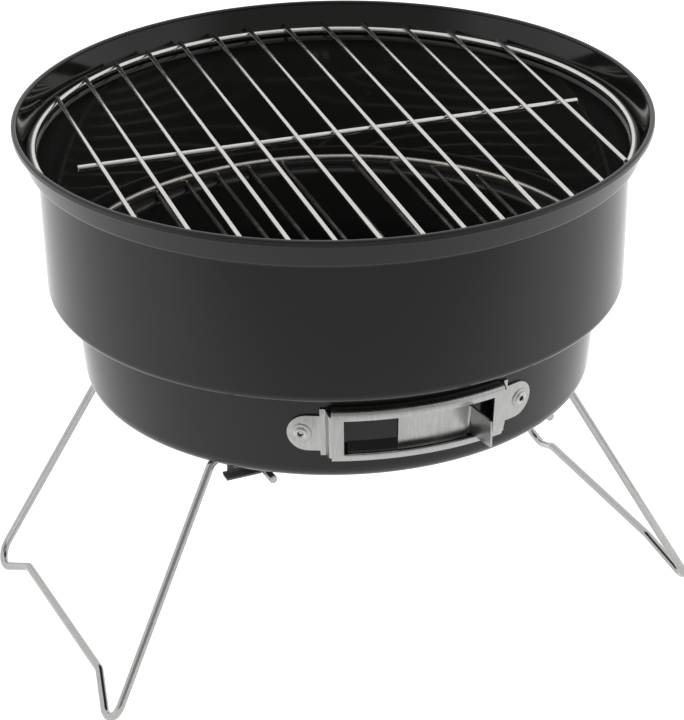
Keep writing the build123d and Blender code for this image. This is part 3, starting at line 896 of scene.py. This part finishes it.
def damper_spot(point, row):
    """Height and standoff of the damper at a point of its route, for a row."""
    if abs(row) == 2:
        return (PLATE_HIGH if row > 0 else PLATE_LOW), point.z
    past_corner = max(0.0, point.z - (tab_out - TAB_CORNER))
    cut = TAB_CORNER - sqrt(max(0.0, TAB_CORNER**2 - past_corner**2))
    reached = (point.z - plate_out) / (tab_out - plate_out)
    if row > 0:
        height = TAB_ROOT_HIGH + (TAB_END_HIGH - TAB_ROOT_HIGH) * reached - cut
    else:
        height = TAB_ROOT_LOW + (TAB_END_LOW - TAB_ROOT_LOW) * reached + cut
    return height, point.z + reached * (vent_radius - cup_radius(height))


def damper_solid(left, right, low, high):
    """The plate has all rows; the tab has only the middle one."""
    on_tab = max(left.z, right.z) > plate_out + 0.00001
    return not on_tab or low == -1


corner_columns = [
    Vector((tab_along, 0, tab_out - TAB_CORNER + TAB_CORNER * sin(pi / 2 * step / BEND_STEPS)))
    for step in range(1, BEND_STEPS + 1)
]
damper_points = spaced(rounded_route(damper_route)[:-1]) + corner_columns
damper = strip("damper_plate", damper_points, damper_rows, damper_spot, damper_solid,
               DAMPER_SHEET, galvanised)
ease_edges(damper, width=0.00012, above=50)
dress(damper, "damper", "galvanised_sheet", "damper")

# %% [markdown]
# ## Rivets
#
# Two blind rivets hold the frame's ears, and eight solid ones hold the leg brackets.
# Each kind is one small turned profile, made with the same tree as the bowl. A second
# tree copies such a template to a set of points and turns it to each point's
# direction, which is kept as an attribute on the points. A blind rivet is set by a
# steel mandrel whose end stays in its bore, so the faces in there get a nearly black
# finish: partly the steel's own colour and partly a painted shade for the deep bore.

# %% Copying tree
def copying_tree():
    """A Geometry Nodes tree that copies a template to points, each along its own direction."""
    tree, given = start_tree("copy_to_places", [
        ("Template", THING), ("Places", THING), ("Finish", MATERIAL),
    ])
    facing = node(tree, "GeometryNodeInputNamedAttribute", {"Name": "facing"}, data_type="FLOAT_VECTOR")
    turned = node(tree, "FunctionNodeAlignRotationToVector", {"Vector": facing}, axis="Z")
    copied = node(tree, "GeometryNodeInstanceOnPoints", {
        "Points": from_object(tree, given["Places"]), "Instance": from_object(tree, given["Template"]),
        "Rotation": turned,
    })
    return end_tree(tree, copied, given["Finish"])


copy_to_places = copying_tree()


def places_for(name, places):
    """An object whose vertices are places, each with its direction as an attribute."""
    mesh = bpy.data.meshes.new(name)
    mesh.from_pydata([place for place, _ in places], [], [])
    attribute = mesh.attributes.new("facing", "FLOAT_VECTOR", "POINT")
    for slot, (_, direction) in zip(attribute.data, places):
        slot.vector = direction
    return bpy.data.objects.new(name, mesh)


def turned_template(name, profile, steps, material):
    """One small turned shape about Z, from corners of (radius, height, bend)."""
    route = [bend_at(*corner) for corner in profile]
    return grow(name, spin_profile, {
        "Profile": host_curve(name + "_profile", route), "Steps": steps, "Bend Steps": 5,
        "Start Angle": 0.0, "Finish": material,
    })


def copies(name, template, places, material):
    """Copies of a template at the places, as one plain mesh; the template itself is removed."""
    piece = grow(name, copy_to_places, {
        "Template": template, "Places": places_for(name + "_places", places), "Finish": material,
    })
    bpy.data.objects.remove(template)
    close_mesh(open_mesh(piece), piece)
    return piece


# %% Vent rivets and the raised rounds under them
BOSS_RADIUS = 0.0044
BOSS_HEIGHT = 0.0005
BOSS_PIT_RADIUS = 0.0014           # a hole in the boss keeps the rivet's bore open
BOSS_PIT_FLOOR = -0.0003
RIVET_HEAD = 0.0029
RIVET_BORE = 0.0011
BORE_MOUTH = 0.0007
MANDREL_END = -0.0001              # the broken end of the steel mandrel, down in the bore
RIVET_RISE = 0.0002                # the head sits this far above the ear
TOLERANCE = 0.00005                # for finding the faces that lie in the bore
ear_places = []
for angle in (-RIVET_ANGLE, RIVET_ANGLE):
    azimuth = radians(VENT_AZIMUTH + angle)
    outwards = direction(azimuth, -wall_lean)
    ear_places.append((on_cup(arc(angle), VENT_HEIGHT, FRAME_SHEET), outwards))

boss = turned_template("ear_boss", [
    (0, -0.0004), (BOSS_RADIUS, -0.0004), (BOSS_RADIUS, 0.0001),
    (BOSS_RADIUS - 0.0004, BOSS_HEIGHT, 0.0005), (BOSS_PIT_RADIUS, BOSS_HEIGHT),
    (BOSS_PIT_RADIUS, BOSS_PIT_FLOOR), (0, BOSS_PIT_FLOOR),
], 48, galvanised)
bosses = copies("ear_bosses", boss, ear_places, galvanised)
joined = open_mesh(vent_frame)
joined.from_mesh(bosses.data)
joined.to_mesh(vent_frame.data)
joined.free()
bpy.data.objects.remove(bosses)
dress(vent_frame, "bowl", "galvanised_sheet", "vent_frame")

blind_rivet = turned_template("blind_rivet", [
    (0, -0.0045), (0.0014, -0.0045, 0.0004), (0.0024, -0.0036, 0.0006), (0.0024, -0.0026, 0.0005),
    (0.0016, -0.0021), (0.0016, RIVET_RISE), (RIVET_HEAD, RIVET_RISE, 0.00015),
    (RIVET_HEAD, 0.0007, 0.0003), (0.0021, 0.0012, 0.0005), (RIVET_BORE + 0.0003, 0.0010, 0.0002),
    (RIVET_BORE, BORE_MOUTH), (RIVET_BORE, MANDREL_END), (0, MANDREL_END),
], 40, aluminium)
vent_rivets = copies("blind_rivets", blind_rivet, ear_places, aluminium)
# painted shade: the bore's faces get the nearly black mandrel finish, partly steel's own colour and partly
# painted shade
vent_rivets.data.materials.append(mandrel_and_bore_shade)
for face in vent_rivets.data.polygons:
    for place, outwards in ear_places:
        offset = face.center - place
        along = offset.dot(outwards)
        aside = (offset - along * outwards).length
        if aside < RIVET_BORE + TOLERANCE and MANDREL_END - TOLERANCE < along < BORE_MOUTH + TOLERANCE:
            face.material_index = 1
dress(vent_rivets, "bowl", "rivet_aluminium", "vent_rivets")

# %% Bracket rivets
FLANGE_HOLE_Y = 0.0654
BRACKET_RIVET_PLACES = (-0.006, 0.007)
brackets = ("leg_bracket_front_left", "leg_bracket_front_right",
            "leg_bracket_rear_left", "leg_bracket_rear_right")
floor_places = []
for name in brackets:
    low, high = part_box(name)
    hand = -1 if high.y < 0 else 1
    for place in BRACKET_RIVET_PLACES:
        along = (low.x + high.x) / 2 - hand * place
        floor_places.append(((along, hand * FLANGE_HOLE_Y, CUP_BOTTOM), (0, 0, 1)))

solid_rivet = turned_template("solid_rivet", [
    (0, -0.0019), (0.0019, -0.0019, 0.0009), (0.0028, -0.0010), (0.0015, -0.0010),
    (0.0015, 0.0010), (0.0028, 0.0010), (0.0019, 0.0019, 0.0009), (0, 0.0019),
], 32, aluminium)
bracket_rivets = copies("bracket_rivet_set", solid_rivet, floor_places, aluminium)
dress(bracket_rivets, "bowl", "rivet_aluminium", "bracket_rivets")

# %% [markdown]
# ## Brackets and damper rails
#
# The CAD shape of these small pressings is already right, so their copies only get
# slightly rounded edges, as tumbled and painted sheet has, and their own finish. The
# copy is welded first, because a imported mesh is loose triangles.

# %% Brackets and rails
def softened(name, width, material):
    """A copy of a CAD node with merged points and slightly rounded edges."""
    mesh = frame["nodes"][name].data.copy()
    mesh.materials.clear()
    mesh.materials.append(material)
    piece = put(name + "_pressing", mesh)
    ease_edges(piece, width, above=50, merge=MERGE)
    return piece


for name in brackets:
    dress(softened(name, 0.0002, paint), "bowl", "black_paint", name)
for name in ("damper_rail_bottom", "damper_rail_top"):
    dress(softened(name, 0.0001, galvanised), "bowl", "galvanised_sheet", name)

# %% [markdown]
# ## Legs
#
# Each leg is one length of chromed wire, bent eight times. Half of its route is
# mirrored: the pin that turns in the bracket, a run under the cup, the elbow, the arm,
# the foot, the jog and the raised crossbar. The loop lies in one leaning plane, so its
# corners are worked out along that plane from the wire's lowest point. A small tree
# rounds the corners and sweeps a circle along the route.

# %% Wire tree
def swept_wire(tree, curve, diameter, sides):
    """Sweep a round section of that diameter along a curve."""
    section = node(tree, "GeometryNodeCurvePrimitiveCircle", {
        "Resolution": sides, "Radius": times(tree, diameter, 0.5),
    })
    return node(tree, "GeometryNodeCurveToMesh", {
        "Curve": curve, "Profile Curve": section, "Fill Caps": True,
    })


def wire_tree():
    """A Geometry Nodes tree that bends a round wire along a route."""
    tree, given = start_tree("bend_wire", [
        ("Route", THING), ("Wire", FLOAT), ("Sides", WHOLE), ("Bend Steps", WHOLE), ("Finish", MATERIAL),
    ])
    route = rounded_curve(tree, given["Route"], given["Bend Steps"])
    return end_tree(tree, swept_wire(tree, route, given["Wire"], given["Sides"]), given["Finish"])


bend_wire = wire_tree()

# %% Legs
LEG_WIRE = 0.0035
LEG_TILT = radians(28.2)
FOOT_REACH = 0.1347
FOOT_CORNER_Y = 0.0763
ARM_LEAN = 0.16
CROSSBAR_HALF = 0.0460
CROSSBAR_LIFT = 0.0159
FOOT_BEND = 0.0073
CROSSBAR_BEND = 0.0040
ELBOW_BEND = 0.0060
PIN_BEND = 0.0033
PIVOT_X = 0.0625
ELBOW_CORNER_Z = 0.1041
LEG_SUPPORT = 0.0008               # from each bend to the point added beside it
pin_end_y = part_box("left_leg")[1].y
pin_height = frame["joints"][0]["pos_m"][2]

arm_angle = pi / 2 - atan2(ARM_LEAN, 1)
jog_angle = atan2(CROSSBAR_LIFT, FOOT_CORNER_Y - CROSSBAR_HALF)
foot_drop = FOOT_BEND * sin((arm_angle + jog_angle) / 2) / sin((arm_angle - jog_angle) / 2) - FOOT_BEND
elbow_along = foot_drop + (ELBOW_CORNER_Z - LEG_WIRE / 2) / cos(LEG_TILT)
elbow_y = FOOT_CORNER_Y - ARM_LEAN * elbow_along


def leg_corner(side, along, y):
    """Corner of a leg's loop, a distance up the leaning plane from the foot's corner."""
    rise = along - foot_drop
    return Vector((side * (FOOT_REACH - rise * sin(LEG_TILT)), y, LEG_WIRE / 2 + rise * cos(LEG_TILT)))


def leg_route(side):
    """Corners and bends of one leg, from its rear pin to its front pin."""
    half = [
        (Vector((side * PIVOT_X, pin_end_y, pin_height)), 0.0),
        (Vector((side * PIVOT_X, elbow_y, pin_height)), PIN_BEND),
        (leg_corner(side, elbow_along, elbow_y), ELBOW_BEND),
        (leg_corner(side, 0, FOOT_CORNER_Y), FOOT_BEND),
        (leg_corner(side, CROSSBAR_LIFT, CROSSBAR_HALF), CROSSBAR_BEND),
    ]
    return half + [(Vector((corner.x, -corner.y, corner.z)), bend) for corner, bend in reversed(half)]


for name, side in (("left_leg", -1), ("right_leg", 1)):
    leg = grow(name + "_wire", bend_wire, {
        "Route": host_curve(name + "_route", with_support(leg_route(side), LEG_SUPPORT)), "Wire": LEG_WIRE,
        "Sides": 28, "Bend Steps": 9, "Finish": chrome,
    })
    ease_edges(leg, width=0.00035, above=60)
    dress(leg, name, "leg_chrome", name)

# %% [markdown]
# ## Grates
#
# Both grates are the same thing at two sizes: a ring, a row of parallel wires whose
# ends follow the ring, and one wire across them to keep them apart, all resistance
# welded. One tree makes either. The row is a mesh line of points; each point gets a
# straight unit curve, stretched to the chord of the ring at that place, and only then
# is the round section swept, so that every wire keeps its thickness. A small squashed
# bead at each crossing is the metal that the weld squeezes out. The wires are cut by
# hand, so their ends are a little uneven, from a seeded random value.

# %% Grate tree
def chord(tree, radius):
    """Half the chord of a circle at each point's X, as a field."""
    place = node(tree, "GeometryNodeInputPosition")
    across = node(tree, "ShaderNodeSeparateXYZ", {"Vector": place}).outputs["X"]
    across_squared = times(tree, across, across)
    rest = maths(tree, "SUBTRACT", times(tree, radius, radius), across_squared)
    return maths(tree, "SQRT", rest)


def moved(tree, geometry, x=0.0, y=0.0, z=0.0):
    """Geometry whose points are moved by numbers or fields."""
    return node(tree, "GeometryNodeSetPosition", {"Geometry": geometry, "Offset": xyz(tree, x, y, z)})


def joined_up(tree, pieces):
    """Several geometries joined."""
    join = node(tree, "GeometryNodeJoinGeometry")
    for piece in pieces:
        feed(tree, join, {0: piece})
    return join


def grate_tree():
    """A Geometry Nodes tree for a welded grate that lies level."""
    tree, given = start_tree("weld_grate", [
        ("Ring Radius", FLOAT), ("Ring Wire", FLOAT), ("Ring Height", FLOAT),
        ("Bars", WHOLE), ("Bar Pitch", FLOAT), ("Bar Shift", FLOAT), ("Bar Wire", FLOAT),
        ("Bar Height", FLOAT), ("Bar End", FLOAT),
        ("Cross Half", FLOAT), ("Cross Wire", FLOAT), ("Cross Height", FLOAT),
        ("Ring Weld Height", FLOAT), ("Cross Weld Height", FLOAT), ("Weld", FLOAT),
        ("Turn", FLOAT), ("Uneven", FLOAT), ("Seed", WHOLE), ("Finish", MATERIAL),
    ])

    circle = node(tree, "GeometryNodeCurvePrimitiveCircle", {
        "Resolution": 240, "Radius": given["Ring Radius"],
    })
    ring = swept_wire(tree, circle, given["Ring Wire"], 20)
    ring = moved(tree, ring, z=given["Ring Height"])

    gaps = maths(tree, "SUBTRACT", given["Bars"], 1.0)
    first = times(tree, times(tree, gaps, given["Bar Pitch"]), -0.5)
    first_x = maths(tree, "ADD", first, given["Bar Shift"])
    row = node(tree, "GeometryNodeMeshLine", {
        "Count": given["Bars"], "Start Location": xyz(tree, first_x), "Offset": xyz(tree, given["Bar Pitch"]),
    })

    unit = node(tree, "GeometryNodeCurvePrimitiveLine", {"Start": (0, -1, 0), "End": (0, 1, 0)})
    stretch = xyz(tree, 1.0, chord(tree, given["Bar End"]), 1.0)
    laid = node(tree, "GeometryNodeInstanceOnPoints", {"Points": row, "Instance": unit, "Scale": stretch})
    lines = node(tree, "GeometryNodeRealizeInstances", {"Geometry": laid})
    slip = node(tree, "FunctionNodeRandomValue", {
        2: times(tree, given["Uneven"], -1.0), 3: given["Uneven"], "Seed": given["Seed"],
    }, data_type="FLOAT").outputs[1]
    bars = swept_wire(tree, moved(tree, lines, y=slip), given["Bar Wire"], 16)
    bars = moved(tree, bars, z=given["Bar Height"])

    cross_line = node(tree, "GeometryNodeCurvePrimitiveLine", {
        "Start": xyz(tree, times(tree, given["Cross Half"], -1.0), z=given["Cross Height"]),
        "End": xyz(tree, given["Cross Half"], z=given["Cross Height"]),
    })
    cross = swept_wire(tree, cross_line, given["Cross Wire"], 20)

    reach = chord(tree, given["Ring Radius"])
    ring_welds = [
        moved(tree, row, y=times(tree, reach, hand), z=given["Ring Weld Height"])
        for hand in (-1.0, 1.0)
    ]
    cross_welds = moved(tree, row, z=given["Cross Weld Height"])
    bead = node(tree, "GeometryNodeMeshUVSphere", {"Segments": 10, "Rings": 6, "Radius": given["Weld"]})
    squashed = node(tree, "GeometryNodeTransform", {"Geometry": bead, "Scale": (1.0, 1.15, 0.5)})
    welds = node(tree, "GeometryNodeInstanceOnPoints", {
        "Points": joined_up(tree, ring_welds + [cross_welds]), "Instance": squashed,
    })

    whole = joined_up(tree, [ring, bars, cross, welds])
    return end_tree(tree, spun(tree, whole, given["Turn"]), given["Finish"])


weld_grate = grate_tree()

# %% Laying a grate
GRATE_BARS = 13


def lay_grate(body, kind, slot, values):
    """Make the grate of a body, whose wires are bars or rods, and dress its nodes."""
    low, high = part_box(body + "_ring")
    wire = high.z - low.z
    grate = grow(body + "_wires", weld_grate, {
        "Ring Radius": high.x - wire / 2, "Ring Wire": wire, "Ring Height": (low.z + high.z) / 2,
        "Bars": GRATE_BARS, "Uneven": 0.0003, **values,
    })
    ease_edges(grate, width=0.0002, above=60)
    dress(grate, body, slot, f"{body}_ring", f"{body}_cross_{kind}",
          *[f"{body}_{kind}_{number:02d}" for number in range(1, GRATE_BARS + 1)])


print("each grate has", GRATE_BARS, "bars or rods")

# %% Cooking grate, whose bars lie on its ring
BAR_WIRE = 0.0020
CROSS_BAR_WIRE = 0.0026
ring_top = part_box("cooking_grate_ring")[1].z
lay_grate("cooking_grate", "bar", "nickel_wire", {
    "Bar Pitch": 0.0167, "Bar Shift": 0.0, "Bar Wire": BAR_WIRE,
    "Bar Height": ring_top + BAR_WIRE / 2, "Bar End": 0.1239,
    "Cross Half": 0.1085, "Cross Wire": CROSS_BAR_WIRE, "Cross Height": ring_top - CROSS_BAR_WIRE / 2,
    "Ring Weld Height": ring_top, "Cross Weld Height": ring_top, "Weld": 0.0009,
    "Turn": radians(-6.0), "Seed": 5, "Finish": nickel,
})

# %% Charcoal grate, whose rods hang under its ring
rods_low, rods_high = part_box("charcoal_grate_rod_07")
rod_wire = rods_high.z - rods_low.z
lay_grate("charcoal_grate", "rod", "charcoal_wire", {
    "Bar Pitch": 0.0157, "Bar Shift": -0.0025, "Bar Wire": rod_wire,
    "Bar Height": (rods_low.z + rods_high.z) / 2, "Bar End": 0.1155,
    "Cross Half": 0.1000, "Cross Wire": rod_wire, "Cross Height": rods_low.z - rod_wire / 2,
    "Ring Weld Height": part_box("charcoal_grate_ring")[0].z, "Cross Weld Height": rods_low.z,
    "Weld": 0.0010, "Turn": radians(-5.0), "Seed": 8, "Finish": charcoal_plate,
})
